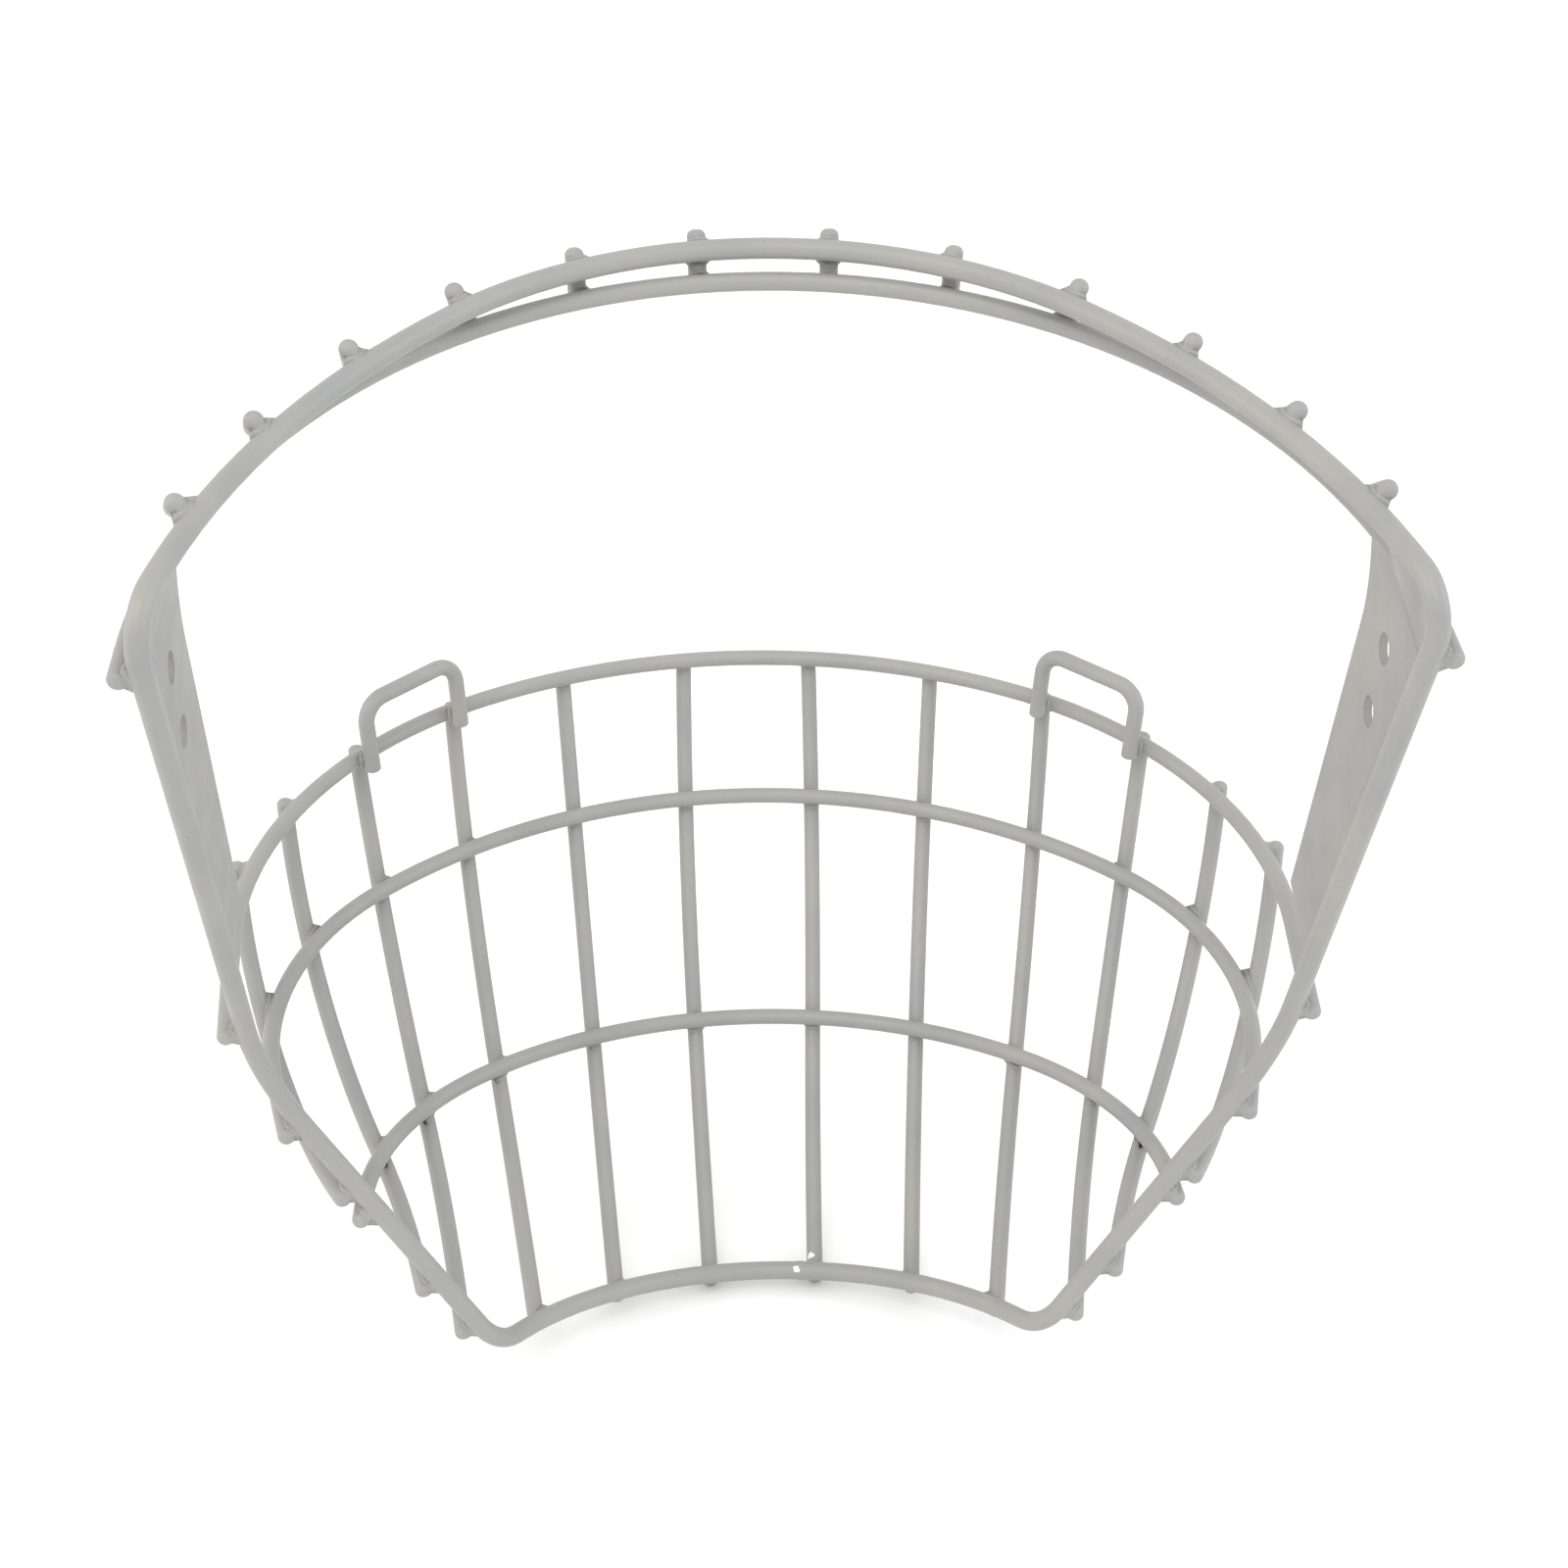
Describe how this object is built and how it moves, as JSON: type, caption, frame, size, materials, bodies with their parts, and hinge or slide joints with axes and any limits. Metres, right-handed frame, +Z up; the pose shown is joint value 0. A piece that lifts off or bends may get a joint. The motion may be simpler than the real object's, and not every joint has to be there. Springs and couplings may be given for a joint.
{
  "type": "goalie mask",
  "caption": "Welded wire face cage for an ice hockey goalkeeper's mask, with a wide eye opening, a lower bar grid, wire loops and flat side mounting plates.",
  "frame": {"origin": "centre of the bounding box", "axes": "+X to the wearer's left, +Z up, -Y to the front of the mask; X = 0 is the plane of symmetry"},
  "size_m": [0.2118, 0.1699, 0.2199],
  "materials": {
    "coated_wire": "satin light grey powder coat over steel wire",
    "coated_plate": "satin light grey powder coat over steel sheet"
  },
  "bodies": {
    "root": {"perimeter_wire": "coated_wire", "brow_wire": "coated_wire", "rim_wire": "coated_wire", "middle_wire": "coated_wire", "lower_wire": "coated_wire", "brow_strut_left_1": "coated_wire", "grid_bar_left_1": "coated_wire", "brow_strut_left_2": "coated_wire", "grid_bar_left_2": "coated_wire", "brow_strut_left_3": "coated_wire", "grid_bar_left_3": "coated_wire", "brow_strut_left_4": "coated_wire", "grid_bar_left_4": "coated_wire", "brow_strut_left_5": "coated_wire", "grid_bar_left_5": "coated_wire", "brow_strut_left_6": "coated_wire", "grid_bar_left_6": "coated_wire", "loop_left": "coated_wire", "side_plate_left": "coated_plate", "brow_strut_right_1": "coated_wire", "grid_bar_right_1": "coated_wire", "brow_strut_right_2": "coated_wire", "grid_bar_right_2": "coated_wire", "brow_strut_right_3": "coated_wire", "grid_bar_right_3": "coated_wire", "brow_strut_right_4": "coated_wire", "grid_bar_right_4": "coated_wire", "brow_strut_right_5": "coated_wire", "grid_bar_right_5": "coated_wire", "brow_strut_right_6": "coated_wire", "grid_bar_right_6": "coated_wire", "loop_right": "coated_wire", "side_plate_right": "coated_plate"}
  },
  "joints": []
}
